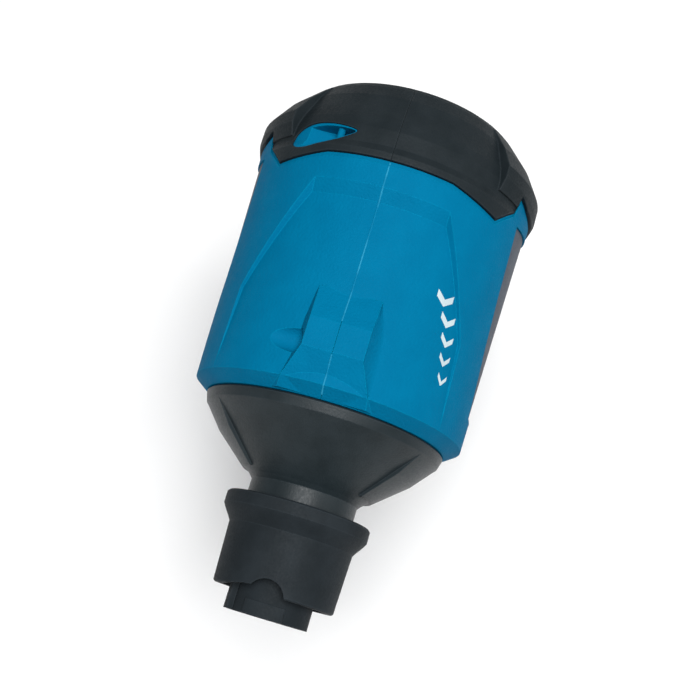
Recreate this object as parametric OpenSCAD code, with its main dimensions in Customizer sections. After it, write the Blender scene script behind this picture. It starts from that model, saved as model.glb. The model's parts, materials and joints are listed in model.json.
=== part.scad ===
// Compact cordless blower with a pistol grip: a high-speed axial fan in a round barrel,
// a cone and a nozzle coupling in front, and a sliding battery under the grip.
// +X points along the outlet, +Z up and +Y to the tool's left.
// The origin is the middle of the battery's flat underside.

/* [Barrel] */
// Height of the barrel's axis above the battery's underside
axis_z = 220; // [214:0.5:228]
// Front edge of the blue collar, ahead of the battery's middle
collar_x = 82.7; // [80:0.1:86]
// Length of the barrel from the collar's front edge to the rubber rear rim
barrel_len = 111.1; // [108:0.1:116]
// Radius of the barrel just behind the collar
barrel_r = 46.9; // [46:0.1:48.5]
// How much wider the barrel is at the rear than at the collar
barrel_flare = 2.8; // [1.5:0.1:3.4]
// Thickness of the housing's walls
wall = 2.8; // [2.2:0.1:3.2]
// Gap between the two housing halves
seam_gap = 0.1; // [0.04:0.01:0.2]
// Width of the collar's chamfered band
collar_w = 3.5; // [2.5:0.1:4.5]
// Depth of the collar's chamfer
collar_drop = 4.9; // [3.5:0.1:5.5]

/* [Top of the barrel] */
// Rear edge of the sunken top panel, behind the collar's front edge
panel_len = 69.8; // [67:0.1:72]
// Length of the slope at the panel's rear edge
panel_slope = 4.5; // [3.5:0.1:5.5]
// Height of the raised boss above the top panel
boss_rise = 3.4; // [2.5:0.1:4.5]
// Half the width of the raised boss at its rear
boss_half_w = 9.8; // [8.5:0.1:10.5]
// Length of the raised boss, with its slopes
boss_len = 34; // [32:0.1:36]

/* [Rear bumper] */
// Thickness of the rubber over the housing
rubber_t = 2.4; // [1.8:0.1:2.8]
// Radius of the rubber at the rear rim
rim_r = 38.5; // [37.5:0.1:39.5]
// Radius of the rubber over the side wings
wing_r = 51.3; // [50.8:0.1:52]
// How far the front tab reaches ahead of the rear rim
tab_len = 32.1; // [31:0.1:33]
// Depth of the strap eye's hollow below the rubber
eye_depth = 8; // [7:0.1:9]
// Radius of the bar in the strap eye that the cord goes round
eye_bar_r = 1.2; // [1:0.1:1.5]

/* [Outlet and nozzle coupling] */
// Length of the cone
cone_len = 22; // [19:0.5:25]
// Radius of the cone at its base
cone_r = 41.8; // [41.6:0.1:42]
// Radius of the neck
neck_r = 18.5; // [18.3:0.05:18.8]
// Length of the neck that shows behind the sleeve
neck_show = 5.8; // [4:0.1:8]
// Length of the nozzle sleeve
sleeve_len = 30; // [27.5:0.1:32]
// Outer radius of the sleeve at its front edge
sleeve_r = 20.6; // [20.2:0.1:21.2]
// Outer radius of the sleeve's flared rim
sleeve_rim_r = 24.9; // [23.5:0.1:26]
// Running clearance between the neck and the sleeve
sleeve_fit = 0.06; // [0.03:0.01:0.09]
// Radius of the outlet's bore
outlet_bore_r = 12.2; // [11.9:0.05:12.3]
// Wall of the outlet tube
outlet_wall = 1.6; // [1.4:0.05:1.8]
// How far the outlet tube stands out of the sleeve
outlet_show = 7.2; // [6.5:0.1:10]

/* [Fan and motor] */
// Radius of the fan duct
duct_r = 30.5; // [29.5:0.1:31]
// Wall of the fan case
case_wall = 2; // [1.6:0.1:2.4]
// Clearance between the blade tips and the duct
tip_gap = 0.6; // [0.4:0.05:1]
// Number of impeller blades
blade_count = 9; // [7:1:11]
// Number of guide vanes
vane_count = 11; // [9:1:13]
// Thickness of the blades and vanes
blade_t = 1.5; // [1.1:0.1:1.9]
// Radius of the motor pod in the duct
pod_r = 20; // [19.5:0.1:21]
// Radius of the motor shaft
shaft_r = 2.5; // [2.2:0.1:2.8]
// Outer radius of the ball bearings
bearing_r = 6.5; // [6:0.1:7]
// Width of the ball bearings
bearing_w = 4; // [3.5:0.1:4.5]
// Running clearance of the shaft in the bearings
shaft_fit = 0.03; // [0.01:0.01:0.08]

/* [Grip and trigger] */
// Half the width of the grip across the palm
grip_half_w = 17; // [16:0.1:18.5]
// Half the depth of the grip from front to back
grip_half_d = 21; // [20:0.1:23]
// Thickness of the soft pads on the grip
pad_t = 1.3; // [0.9:0.1:1.6]
// Width of the trigger
trigger_w = 16; // [14:0.1:18]
// Travel of the trigger
trigger_travel = 7; // [5:0.1:8]
// Radius of the lock-on button
lock_r = 4.2; // [3.6:0.1:4.8]
// Clearance round the buttons and the trigger
button_gap = 0.4; // [0.3:0.05:0.5]

/* [Foot] */
// Height of the foot's lower edge
foot_z = 47; // [46.6:0.1:48]
// Height of the foot from its lower edge to its top
foot_h = 33; // [31:0.5:36]
// Width of the foot
foot_w = 66; // [64:0.5:70]

/* [Battery] */
// Length of the battery
battery_l = 112; // [110:0.5:116]
// Width of the battery
battery_w = 76; // [74:0.5:80]
// Height of the battery's case below the rail block
battery_h = 46; // [45.5:0.1:46.3]
// Thickness of the battery's walls
battery_wall = 2.2; // [1.8:0.1:2.4]
// Width of the rail block on top of the battery
mast_w = 50; // [48:0.5:52]
// Height of the rail block
mast_h = 14; // [13:0.1:15]
// Clearance between the rails and the foot
rail_gap = 0.4; // [0.3:0.05:0.5]
// Diameter of one cell
cell_d = 18.4; // [18:0.1:18.6]
// Length of one cell
cell_l = 65; // [62:0.5:67]

/* [Screws] */
// Radius of the screw shanks
screw_r = 1.45; // [1.2:0.05:1.6]
// Radius of the screw heads
screw_head_r = 3; // [2.6:0.1:3.3]
// Clearance round the screw shanks and heads
screw_gap = 0.1; // [0.05:0.01:0.2]

/* [Hidden] */

big = 400;
tiny = 0.01;
hull_fn = 40;
$fn = 96;

// Places along the barrel
rear_x = collar_x - barrel_len;
collar_back_x = collar_x - collar_w;
flare_end_x = collar_back_x - 82.2;
flare_slope = barrel_flare / (collar_back_x - flare_end_x);
tab_x = rear_x + tab_len;
core_rear_x = rear_x + 2;
cone_x = collar_x + 2.3;
neck_x = cone_x + cone_len;
sleeve_x = neck_x + neck_show;
sleeve_end_x = sleeve_x + sleeve_len;
tip_x = sleeve_end_x + outlet_show;
neck_end_x = sleeve_x + 7.2;
tube_x = neck_x + 1;
collar_mouth_r = barrel_r - collar_drop;

// Radius of the flared barrel at a place along it
function barrel_r_at(x) = barrel_r + flare_slope * (collar_back_x - x);
// Turns points written as [along the axis, radius] into a revolve's [radius, along]
function ax(points) = [for (p = points) [p[1], p[0]]];
function lerp(a, b, t) = a + (b - a) * t;

// Carries a revolve about local Z onto the barrel's axis, +Z to +X
module on_axis() {
    translate([0, 0, axis_z])
    rotate([0, 90, 0])
    children();
}

// A ring or plug about the barrel's axis, from points written as [along, radius]
module turned(points) {
    on_axis()
    rotate_extrude()
    polygon(ax(points));
}

module tube(x0, x1, r_in, r_out) {
    turned([[x0, r_in], [x1, r_in], [x1, r_out], [x0, r_out]]);
}

// A round bar across the tool, along Y
module cross_bar(x, z, r, y0, y1) {
    translate([x, y0, z])
    rotate([-90, 0, 0])
    cylinder(r = r, h = y1 - y0);
}

module rounded_outline(l, w, r) {
    square([l - 2 * r, w], center = true);
    square([l, w - 2 * r], center = true);
    for (sx = [-1, 1], sy = [-1, 1])
        translate([sx * (l / 2 - r), sy * (w / 2 - r)])
        circle(r = r);
}

module rounded_slab(l, w, r, z0, z1, x = 0) {
    translate([x, 0, z0])
    linear_extrude(z1 - z0)
    rounded_outline(l, w, r);
}

module box(x0, x1, y0, y1, z0, z1) {
    translate([x0, y0, z0])
    cube([x1 - x0, y1 - y0, z1 - z0]);
}

// Keeps one side of the tool: side is 1 for the left (+Y) and -1 for the right
module half(side) {
    intersection() {
        children();
        translate([-big / 2, side > 0 ? seam_gap / 2 : -big - seam_gap / 2, -big / 2])
        cube([big, big, 2 * big]);
    }
}

// ---------------------------------------------------------------- barrel's skin

// Blue cone frustum with the chamfered collar, solid
module flared_body(grow = 0) {
    x0 = rear_x + 15;
    turned([[x0, 0], [x0, barrel_r_at(x0) + grow],
            [collar_back_x, barrel_r + grow],
            [collar_x, collar_mouth_r + grow],
            [collar_x, 0]]);
}

// The rubber climbs from the rim to a little over the barrel, drawn here for a climb of 11.6
climb = (barrel_r + 3.2 - rim_r) / 11.6;
// Outline of the rubber on top, as [from the rear rim, radius]
bumper_profile = [[0, rim_r - 1.5], [0, rim_r], [1.8, rim_r + 1.5 * climb],
                  [6.8, rim_r + 4.6 * climb], [17.4, rim_r + 9.1 * climb],
                  [21.5, rim_r + 10.2 * climb], [27.2, rim_r + 10.6 * climb],
                  [30, rim_r + 11.8 * climb], [38, rim_r + 11.6 * climb]];
wing_profile = [[1.4, rim_r + 1.5], [9.4, wing_r - 4.3], [16.6, wing_r], [20.9, wing_r],
                [25.5, wing_r - 1.5]];

function shifted(points, dx, dr) = [for (p = points) [rear_x + p[0] + dx, p[1] + dr]];

// Solid under the rubber
module bumper_core(grow = 0) {
    outer = shifted(bumper_profile, 0, -rubber_t + grow);
    last = outer[len(outer) - 1];
    turned(concat([[core_rear_x - grow, 0], [core_rear_x - grow, rim_r - 1 + grow]],
                  [for (i = [3 : len(outer) - 1]) outer[i]],
                  [[last[0], 0]]));
}

module bumper_shape() {
    outer = shifted(bumper_profile, 0, 0);
    last = outer[len(outer) - 1];
    turned(concat([[rear_x, 0]], outer, [[last[0], 0]]));
}

module wing_shape() {
    outer = shifted(wing_profile, 0, 0);
    last = outer[len(outer) - 1];
    turned(concat([[outer[0][0], 0]], outer, [[last[0], 0]]));
}

// Half of the bumper's front edge seen from above, as [ahead of the tab's edge, to the side]
tab_edge = [[0, 0], [0, 21], [3.3, 37], [-4.2, 42.7], [-10.5, 44], [-9, 47], [-9, 60]];

// Where rubber may lie: everything behind the tab's edge on top, and a rim below
module bumper_zone(grow = 0) {
    translate([0, 0, axis_z - 22])
    linear_extrude(100)
    polygon(concat([for (p = tab_edge) [tab_x + p[0] + grow, p[1]]],
                   [[rear_x - 20, 60], [rear_x - 20, -60]],
                   [for (i = [len(tab_edge) - 1 : -1 : 1])
                       [tab_x + tab_edge[i][0] + grow, -tab_edge[i][1]]]));
    box(rear_x - 20, rear_x + 8 + grow, -60, 60, axis_z - 70, axis_z - 22 + grow);
}

// Both flanks of the barrel, between two angles down from the top
module flanks(x, length, top_angle, low_angle) {
    for (side = [-1, 1])
        translate([x, 0, axis_z])
        rotate([90, 0, 90])
        linear_extrude(length)
        polygon([[0, 0], for (a = [top_angle, low_angle]) 100 * [side * sin(a), cos(a)]]);
}

wing_angles = [46, 109];

module wing_zone() {
    flanks(rear_x - 20, 60, wing_angles[0], wing_angles[1]);
}

// Strap eye: a teardrop mouth along the barrel's girth. Its hollow is shallow at the outer
// end and deep at the inner one, where a bar crosses it for the cord.
eye_angle = 30.3;
eye_x = rear_x + 25.5;
eye_surface_r = 49.4;
eye_floor_r = 13;
eye_deepest_y = 5.2;
eye_lip = 0.9;
eye_half_w = 3.4;
eye_half_l = 11.2;
eye_taper = 0.5;
eye_slant = 1.75;

// Carries an outline onto the barrel's skin, its Y up the girth
module at_eye() {
    translate([eye_x, 0, axis_z])
    rotate([eye_angle, 0, 0])
    children();
}

// Prism of the mouth's outline, an oval that narrows and slants up the girth
module eye_mouth(grow, r0, r1) {
    at_eye()
    translate([0, 0, r0])
    linear_extrude(r1 - r0)
    polygon([for (a = [0 : 10 : 350])
        [(eye_half_w + grow) * cos(a) * (1 - eye_taper * sin(a)) - eye_slant * sin(a),
         (eye_half_l + grow) * sin(a)]]);
}

// A round across the mouth, along X, at a height above the barrel's axis
module eye_cross(r, y, height, half_l) {
    at_eye()
    translate([-half_l, y, height])
    rotate([0, 90, 0])
    cylinder(r = r, h = 2 * half_l);
}

module eye_hollow() {
    difference() {
        intersection() {
            eye_mouth(0, 30, 60);
            eye_cross(eye_floor_r, eye_deepest_y, eye_surface_r - eye_depth + eye_floor_r, 8);
        }
        eye_cross(eye_bar_r, eye_deepest_y - 0.6, eye_surface_r - 4, 8);
    }
}

// Lip of the shell that lines the mouth, up to just under the rubber's skin
module eye_collar() {
    intersection() {
        eye_mouth(eye_lip, 40, 60);
        turned(concat([[rear_x + 10, 0]], shifted([for (i = [3 : 8]) bumper_profile[i]], 0, -0.6),
                      [[rear_x + 38, 0]]));
    }
}

// Solid inside the barrel that the hollow is sunk into
module eye_backing() {
    eye_cross(eye_floor_r + 1.8, eye_deepest_y, eye_surface_r - eye_depth + eye_floor_r, 6.6);
}

module bumper(side) {
    color("#25292d")
    half(side)
    difference() {
        intersection() {
            union() {
                bumper_shape();
                intersection() {
                    wing_shape();
                    wing_zone();
                }
            }
            bumper_zone();
        }
        bumper_core(0.05);
        turned([[rear_x - 5, 0], [rear_x - 5, intake_r + 1.8], [rear_x + 5, intake_r + 1.8],
                [rear_x + 5, 0]]);
        if (side < 0) eye_mouth(eye_lip + 0.05, 30, 60);
    }
}

// Half of space above a plane through a point. The plane leans in towards the seam by tilt and
// its front end goes down by pitch.
module above_plane(point, side, tilt, pitch) {
    translate([point[0], side * point[1], axis_z + point[2]])
    rotate([side * tilt, pitch, 0])
    translate([-big / 2, -big / 2, 0])
    cube(big);
}

// Cuts the sunken top panel: outside a plain round surface, with a slope along each edge
module panel_cut() {
    back = collar_x - panel_len;
    slope_top_r = barrel_r_at(back);
    steep = (slope_top_r - barrel_r) / panel_slope;
    front = collar_x + 10;
    flank_edge = [collar_x - 60.5, barrel_r - 12.5, barrel_r - 14.9];
    corner_edge = [back + panel_slope, barrel_r - 24.5, barrel_r - 5.7];
    intersection() {
        turned([[back + panel_slope, barrel_r], [back - 2, slope_top_r + 2 * steep],
                [back - 2, slope_top_r + 8], [front, slope_top_r + 8], [front, barrel_r]]);
        above_plane(flank_edge, 1, 28, 5.8);
        above_plane(flank_edge, -1, 28, 5.8);
        above_plane(corner_edge, 1, 25.7, 29.1);
        above_plane(corner_edge, -1, 25.7, 29.1);
    }
}

// Raised boss over the top screw: a ramp behind, a flat crest, and a slope that widens in front
module top_boss() {
    back = collar_x - boss_len;
    crest = [back + 11.3, back + 20.8];
    top_z = axis_z + barrel_r + boss_rise;
    deep_z = axis_z + barrel_r - 4;
    ramp = [[back, boss_half_w + 0.4, top_z - boss_rise - 0.4], [back, boss_half_w + 0.6, deep_z]];
    rise = [[crest[0], boss_half_w, top_z], [crest[0], boss_half_w + 3, deep_z]];
    fall = [[crest[1], boss_half_w, top_z], [crest[1], boss_half_w + 3.2, deep_z]];
    shoulder = [[collar_back_x, 13.9, top_z - 5.1], [collar_back_x, 16, deep_z - 3]];
    foot = [[collar_x - 0.3, 14.3, axis_z + collar_mouth_r],
            [collar_x - 0.3, 16.4, deep_z - 4]];
    spanning(concat(ramp, rise, fall));
    spanning(concat(fall, shoulder, foot));
}

// Solid that spans points and their mirror images on the other side
module spanning(points) {
    hull()
    for (p = points, side = [-1, 1])
        translate([p[0], side * p[1], p[2]])
        cube(tiny, center = true);
}

// Side panel's outline, seen from the side, as [behind the collar, above the axis]
panel_outline = [[13.7, 4], [14.2, 9.7], [37.7, 15.6], [54.7, 18.2], [80.2, 20.5], [82, 6],
                 [84.5, -12], [80, -27], [66, -31], [30, -30], [19, -20]];

module side_zone(side, grow = 0) {
    middle = [50, -11];
    translate([0, 0, axis_z])
    rotate([90, 0, 0])
    translate([0, 0, side > 0 ? -80 : 30])
    linear_extrude(50)
    polygon([for (p = panel_outline)
        [collar_x - p[0] + sign(middle[0] - p[0]) * grow,
         p[1] + sign(p[1] - middle[1]) * grow]]);
}

side_panel_t = 1.1;
side_panel_drop = 0.7;

module side_panel(side) {
    color("#46505f")
    intersection() {
        difference() {
            flared_body(-side_panel_drop);
            flared_body(-side_panel_drop - side_panel_t);
        }
        side_zone(side);
    }
}

module side_panel_seat(side) {
    intersection() {
        difference() {
            flared_body(2);
            flared_body(-side_panel_drop - side_panel_t - 0.05);
        }
        side_zone(side, 0.15);
    }
}

// ---------------------------------------------------------------- grip and foot

// Levels of the grip, as [height, middle, half depth, half width], from the barrel down
grip_x = 7;
foot_top_z = foot_z + foot_h;
grip_levels = [[axis_z - 34, grip_x + 2, grip_half_d + 6, grip_half_w + 5],
               [axis_z - 52, grip_x, grip_half_d + 0.6, grip_half_w],
               [axis_z - 92, grip_x - 5, grip_half_d, grip_half_w + 0.6],
               [foot_top_z + 6, grip_x - 11, grip_half_d - 1, grip_half_w - 1],
               [foot_top_z - 6, grip_x - 11.5, grip_half_d - 1, grip_half_w - 1]];

module grip_shape(grow = 0, first = 0, last = 4) {
    hull()
    for (i = [first : last])
        translate([grip_levels[i][1], 0, grip_levels[i][0]])
        scale([1, (grip_levels[i][3] + grow) / (grip_levels[i][2] + grow), 1])
        cylinder(r = grip_levels[i][2] + grow, h = tiny, $fn = hull_fn);
}

foot_back_x = 2 - battery_l / 2;
foot_front_x = battery_l / 2 - 16;
foot_l = foot_front_x - foot_back_x;
foot_mid_x = (foot_front_x + foot_back_x) / 2;
mast_top_z = battery_h + mast_h;
channel_z = mast_top_z + rail_gap;
channel_half_w = mast_w / 2 + rail_gap;

module foot_shape() {
    rounded_slab(foot_l, foot_w, 8, foot_z, foot_top_z - 7, foot_mid_x);
    hull() {
        rounded_slab(foot_l, foot_w, 8, foot_top_z - 7.5, foot_top_z - 7, foot_mid_x);
        rounded_slab(foot_l - 14, foot_w - 14, 6, foot_top_z - tiny, foot_top_z, foot_mid_x);
    }
}

// Channel for the battery's rail block, open to the front and below
module rail_channel() {
    box(foot_back_x + wall, foot_front_x + 5, -channel_half_w, channel_half_w,
        foot_z - 1, channel_z);
}

rail_z = battery_h + 4.9;
rail_t = 3.6;
rail_depth = 3.6;

// The foot's two tongues, which the battery's grooves run on
module foot_tongues() {
    for (side = [-1, 1])
        translate([foot_back_x + wall - 0.5,
                   side > 0 ? channel_half_w - rail_depth : -channel_half_w - 0.5, rail_z])
        cube([foot_l - wall - 2, rail_depth + 0.5, rail_t]);
}

// ---------------------------------------------------------------- inside the housing

intake_r = 33.5;
grille_x = rear_x + 4.5;
grille_t = 2.5;
ledge_x = grille_x + grille_t;
fan_rear_x = rear_x + 11;
case_r = duct_r + case_wall;
case_end_x = collar_x - 18.7;
ring_t = 5;
ring_w = 8;
ring_places = [collar_x - 70, collar_x - 34];
skirt_gap = 0.2;
cone_seat_r = collar_mouth_r - 2;
cone_flange_r = collar_mouth_r + 0.1;

module barrel_cavity() {
    inner = shifted(bumper_profile, 0, -rubber_t - wall);
    turned(concat([[ledge_x + 2.2, 0], [ledge_x + 2.2, inner[3][1] - 2.4],
                   [rear_x + 17.4, inner[4][1]], [rear_x + 38, barrel_r - wall],
                   [collar_back_x - 1, barrel_r - wall],
                   [collar_x - 2.5, cone_flange_r + 0.2],
                   [collar_x - 2.5, 0]]));
}

// Round ways through the housing's two ends
module barrel_ends() {
    turned([[rear_x - 1, 0], [rear_x - 1, intake_r], [ledge_x, intake_r], [ledge_x, intake_r - 2],
            [ledge_x + 3, intake_r - 2], [ledge_x + 3, 0]]);
    turned([[collar_x - 3, 0], [collar_x - 3, cone_seat_r], [collar_x + 1, cone_seat_r],
            [collar_x + 1, 0]]);
}

module grip_cavity() {
    difference() {
        grip_shape(-wall);
        box(-80, 80, -50, 50, 0, channel_z + wall);
    }
    rounded_slab(foot_l - 2 * wall - 8, foot_w - 2 * wall - 8, 4, channel_z + wall,
                 foot_top_z - wall, foot_mid_x);
}

// Screws across the housing, as [x, height]
top_screw = [collar_x - 15, axis_z + barrel_r - 0.7];
house_boss_r = 5.6;
low_screw_z = axis_z - barrel_r + house_boss_r;
house_screws = [top_screw, [collar_x - 13, low_screw_z], [rear_x + 16.5, low_screw_z],
                [grip_x - 18, foot_top_z + 28], [foot_back_x + 11, foot_z + 22],
                [foot_front_x - 9, foot_z + 22]];
screw_head_y = -7.4;
bore_step_y = -11;
screw_tip_y = 10;

module screw_bosses() {
    for (p = house_screws)
        cross_bar(p[0], p[1], house_boss_r, -40, 16);
}

module screw_holes() {
    for (p = house_screws) {
        cross_bar(p[0], p[1], screw_r + screw_gap, screw_head_y - 1, screw_tip_y + 1);
        cross_bar(p[0], p[1], screw_head_r + 0.25, bore_step_y - 1, screw_head_y);
        cross_bar(p[0], p[1], screw_head_r + 1.1, -60, bore_step_y);
    }
}

// Walls inside the barrel that hold the two rubber mount rings
module ring_seats() {
    for (x = ring_places)
        tube(x - 1.5, x + 1.5, case_r + ring_t + 0.05, 60);
}

module cone_groove_lips() {
    tube(collar_x - 6.2, collar_x - 4.3, cone_flange_r - 1.5, 60);
}

module switch_cradle() {
    box(grip_x - 33, grip_x + 27, -20, 20, switch_z - 3, switch_z - 0.3);
}

// Shallow step in the shell round the rubber's front edge
module rubber_ledge() {
    difference() {
        intersection() {
            bumper_zone(1.5);
            flared_body(2);
        }
        flared_body(-0.5);
    }
}

module housing(side) {
    color("#0083ad")
    half(side)
    difference() {
        union() {
            difference() {
                flared_body();
                bumper_zone(0.1);
                panel_cut();
                rubber_ledge();
            }
            bumper_core();
            if (side < 0) eye_collar();
            top_boss();
            grip_shape();
            foot_shape();
        }
        difference() {
            union() {
                barrel_cavity();
                grip_cavity();
            }
            screw_bosses();
            ring_seats();
            cone_groove_lips();
            switch_cradle();
            if (side < 0) eye_backing();
        }
        barrel_ends();
        screw_holes();
        side_panel_seat(side);
        difference() {
            rail_channel();
            foot_tongues();
        }
        trigger_way();
        cross_bar(lock_x, lock_z, lock_r + button_gap, -60, 60);
        terminal_seat();
        panel_seat();
        if (side < 0) eye_hollow();
    }
}

module grip_pad(side) {
    color("#2a2d30")
    half(side)
    intersection() {
        difference() {
            grip_shape(pad_t, 1, 3);
            grip_shape(0.03);
        }
        rotate([90, 0, 0])
        linear_extrude(100, center = true)
        polygon([[grip_x - 60, foot_top_z + 12], [grip_x - 11, foot_top_z + 12],
                 [grip_x - 3, foot_top_z + 18], [grip_x + 5, axis_z - 92], [grip_x + 3, axis_z - 70],
                 [grip_x - 13, axis_z - 60], [grip_x - 60, axis_z - 60]]);
        cross_cut_pad();
    }
}

module cross_cut_pad() {
    difference() {
        box(-80, 80, -50, 50, 0, 300);
        cross_bar(house_screws[3][0], house_screws[3][1], screw_head_r + 1.6, -60, 0);
    }
}

// ---------------------------------------------------------------- front cone and outlet

skirt_r = case_r + skirt_gap;

rim_x = collar_x + 3.7;

module front_cone() {
    color("#24282c")
    union() {
        turned([[case_end_x - 4, skirt_r], [case_end_x - 4, skirt_r + 2.2],
                [collar_x - 4.2, skirt_r + 2.2], [collar_x - 4.2, cone_flange_r],
                [collar_x - 2.6, cone_flange_r], [collar_x - 2.6, cone_seat_r - 0.15],
                [collar_x + 0.2, cone_seat_r - 0.15], [collar_x + 0.2, cone_r - 0.6],
                [collar_x + 0.8, cone_r], [rim_x, cone_r - 0.9], [neck_x - 1.5, neck_r + 1.3],
                [neck_x, neck_r], [neck_end_x - 4.5, neck_r], [neck_end_x - 4.5, neck_r - 1.2],
                [neck_end_x - 3, neck_r - 1.2], [neck_end_x - 3, neck_r], [neck_end_x, neck_r],
                [neck_end_x, tube_r + 0.05], [tube_x, tube_r + 0.05], [tube_x, outlet_bore_r + 0.4],
                [cone_x + 1, skirt_r - 2.4], [case_end_x + 0.6, skirt_r - 2.2],
                [case_end_x + 0.6, skirt_r]]);
        cone_cheeks();
    }
}

// Proud cheeks on both flanks of the cone, a little rounder than the cone itself
module cone_cheeks() {
    intersection() {
        turned([[collar_x + 0.2, cone_r - 5], [collar_x + 0.2, cone_r - 0.6],
                [collar_x + 0.8, cone_r - 0.6], [rim_x, cone_r - 1],
                [rim_x + 8, lerp(cone_r, neck_r, 0.36) + 0.6],
                [neck_x - 3, neck_r + 4.2], [neck_x - 3, neck_r]]);
        flanks(collar_x, cone_len + 4, 57.5, 122.5);
    }
}

tube_r = outlet_bore_r + outlet_wall;

module outlet_tube() {
    color("#1f2326")
    difference() {
        union() {
            tube(tube_x + 0.1, tip_x, outlet_bore_r, tube_r);
            intersection() {
                tube(tip_x - 4.6, tip_x, outlet_bore_r + 0.5, tube_r + 1.6);
                box(tip_x - 20, tip_x + 5, -7.2, 6, axis_z, axis_z + 30);
            }
            intersection() {
                tube(tip_x - 20, tip_x, outlet_bore_r + 0.5, tube_r + 1.3);
                at_rib() box(tip_x - 30, tip_x + 5, -1.6, 1.6, 0, 30);
            }
        }
        intersection() {
            tube(tip_x - 12, tip_x + 1, tube_r - 0.7, tube_r + 5);
            at_rib() box(tip_x - 30, tip_x + 5, 1.6, 3.4, 0, 30);
        }
    }
}

// Turns about the barrel's axis to the rib on the outlet tube's right flank
module at_rib() {
    translate([0, 0, axis_z])
    rotate([65, 0, 0])
    children();
}

socket_r = sleeve_r - 3;

module nozzle_sleeve() {
    color("#24282c")
    difference() {
        turned([[sleeve_x, neck_r + sleeve_fit], [sleeve_x, sleeve_rim_r - 0.6],
                [sleeve_x + 0.6, sleeve_rim_r], [sleeve_x + 4.4, sleeve_rim_r],
                [sleeve_x + 5.6, sleeve_rim_r - 0.7], [sleeve_x + 8.4, sleeve_r + 1.6],
                [sleeve_x + 9.7, sleeve_r + 0.8], [sleeve_end_x - 0.5, sleeve_r],
                [sleeve_end_x, sleeve_r - 0.5], [sleeve_end_x, socket_r],
                [neck_end_x + 0.4, socket_r], [neck_end_x + 0.4, neck_r + sleeve_fit],
                [neck_end_x - 2.9, neck_r + sleeve_fit], [neck_end_x - 2.9, neck_r + 0.9],
                [neck_end_x - 4.6, neck_r + 0.9], [neck_end_x - 4.6, neck_r + sleeve_fit]]);
        translate([sleeve_end_x + 1.3, -1, axis_z])
        cylinder(r = 6.1, h = 40);
        translate([sleeve_end_x, 0, axis_z])
        linear_extrude(40)
        polygon([[1, 4], [1, -18], [-0.2, -16], [-1.6, -9], [-2, -4], [-2, 4]]);
    }
}

module sleeve_ring() {
    color("#9a9ea2")
    tube(neck_end_x - 4.4, neck_end_x - 3.1, neck_r - 1.1, neck_r + 0.55);
}

// ---------------------------------------------------------------- intake, fan and motor

module intake_grille() {
    first_ring_r = 6.6;
    color("#1c1f22")
    union() {
        tube(grille_x, ledge_x - 0.02, intake_r - 3, intake_r - 0.1);
        for (r = [7, 12.4, 17.8, 23.2])
            tube(grille_x + 0.3, ledge_x - 0.4, r - 0.8, r + 0.8);
        tube(grille_x + 0.3, ledge_x - 0.4, 0, 2.6);
        for (i = [0 : 11])
            let (start = i % 3 == 0 ? 0 : first_ring_r)
            on_axis()
            rotate(i * 30)
            translate([start, -0.8, grille_x + 0.5])
            cube([intake_r - 1.5 - start, 1.6, grille_t - 1]);
    }
}

impeller_x = fan_rear_x + 5;
impeller_len = 22;
pod_x = impeller_x + impeller_len + 2;
vane_x = pod_x + 2;
vane_len = 25;
pod_end_x = pod_x + 38;
stator_x = pod_x + 9;
stator_len = 17;
cap_x = pod_end_x - 7;

span_steps = 4;
chord_steps = 8;

function camber(t, bend) = t + bend * t * (1 - t);
function half_t(t, thick) = thick * (0.22 + 1.12 * sqrt(t) * (1 - t) + 0.25 * (1 - t) * t);

// One twisted blade about local Z, from radius r0 to r1 and from x0 to x1 along the axis. Its
// middle line turns through root_turn degrees at the root and tip_turn at the tip.
module blade(r0, r1, x0, x1, root_turn, tip_turn, bend, thick) {
    points = [for (face = [-1, 1], i = [0 : span_steps], j = [0 : chord_steps])
        let (s = i / span_steps, t = j / chord_steps, r = lerp(r0, r1, s),
             turn = lerp(root_turn, tip_turn, s),
             a = turn * camber(t, bend) + face * half_t(t, thick) / r * 180 / PI)
        [r * cos(a), r * sin(a), lerp(x0, x1, t)]];
    row = chord_steps + 1;
    side = row * (span_steps + 1);
    faces = concat(
        [for (i = [0 : span_steps - 1], j = [0 : chord_steps - 1])
            let (a = i * row + j) [a, a + 1, a + row + 1]],
        [for (i = [0 : span_steps - 1], j = [0 : chord_steps - 1])
            let (a = i * row + j) [a, a + row + 1, a + row]],
        [for (i = [0 : span_steps - 1], j = [0 : chord_steps - 1])
            let (a = side + i * row + j) [a, a + row + 1, a + 1]],
        [for (i = [0 : span_steps - 1], j = [0 : chord_steps - 1])
            let (a = side + i * row + j) [a, a + row, a + row + 1]],
        [for (j = [0 : chord_steps - 1]) [j, side + j, side + j + 1, j + 1]],
        [for (j = [0 : chord_steps - 1])
            let (a = span_steps * row + j) [a, a + 1, side + a + 1, side + a]],
        [for (i = [0 : span_steps - 1])
            let (a = i * row) [a, a + row, side + a + row, side + a]],
        [for (i = [0 : span_steps - 1])
            let (a = i * row + chord_steps) [a, side + a, side + a + row, a + row]]);
    polyhedron(points, faces, convexity = 4);
}

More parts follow.
